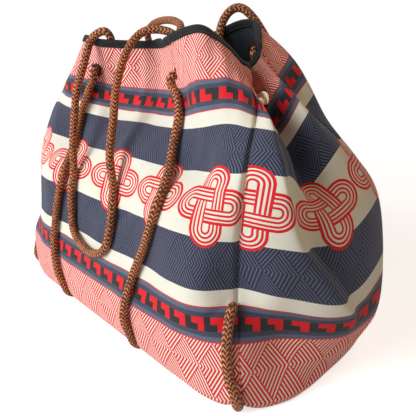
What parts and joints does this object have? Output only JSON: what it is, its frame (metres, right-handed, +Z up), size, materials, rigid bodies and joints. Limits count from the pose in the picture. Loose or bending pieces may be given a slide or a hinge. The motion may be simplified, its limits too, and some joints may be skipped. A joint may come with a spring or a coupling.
{
  "type": "drawstring tote bag",
  "caption": "Soft printed-fabric tote bag with folded ends, a bound rim, press studs, and a rope cradle threaded through eyelets whose free loops are the handles.",
  "frame": {"origin": "on the floor under the middle of the bag, at the underside of the ropes that it stands on", "axes": "+X along the bag's length towards the near end panel, +Y towards the back panel, +Z up"},
  "size_m": [0.5586, 0.276, 0.3636],
  "materials": {
    "printed_cloth": "matt woven cotton with a printed pattern",
    "board": "matt",
    "binding": "matt bias tape",
    "eyelet_metal": "black, satin",
    "stud_metal": "polished",
    "rope": "braided, matt"
  },
  "bodies": {
    "bag": {"front_panel": "printed_cloth", "back_panel": "printed_cloth", "gusset_near": "printed_cloth", "gusset_far": "printed_cloth", "base_panel": "printed_cloth", "base_board": "board", "rim_binding": "binding", "eyelet_front_left": "eyelet_metal", "eyelet_front_right": "eyelet_metal", "eyelet_back_left": "eyelet_metal", "eyelet_back_right": "eyelet_metal", "washer_front_left": "eyelet_metal", "washer_front_right": "eyelet_metal", "washer_back_left": "eyelet_metal", "washer_back_right": "eyelet_metal", "snap_cap_near_front": "stud_metal", "snap_cap_near_back": "stud_metal", "snap_cap_far_front": "stud_metal", "snap_cap_far_back": "stud_metal", "snap_inside_near_front": "stud_metal", "snap_inside_near_back": "stud_metal", "snap_inside_far_front": "stud_metal", "snap_inside_far_back": "stud_metal", "cradle_rope_left": "rope", "cradle_rope_right": "rope", "end_rope_near": "rope", "end_rope_far": "rope"},
    "front_handle": {"front_handle": "rope"},
    "back_handle": {"back_handle": "rope"}
  },
  "joints": [
    {"name": "front_handle_swing", "type": "hinge", "parent": "bag", "child": "front_handle", "pos_m": [-0.00968, -0.0241, 0.34585], "axis": [-0.8944, -0.4472, 0], "range_deg": [0, 160]},
    {"name": "back_handle_swing", "type": "hinge", "parent": "bag", "child": "back_handle", "pos_m": [-0.09668, 0.0509, 0.34485], "axis": [0.9973, 0.0204, 0.0712], "range_deg": [0, 160]}
  ]
}
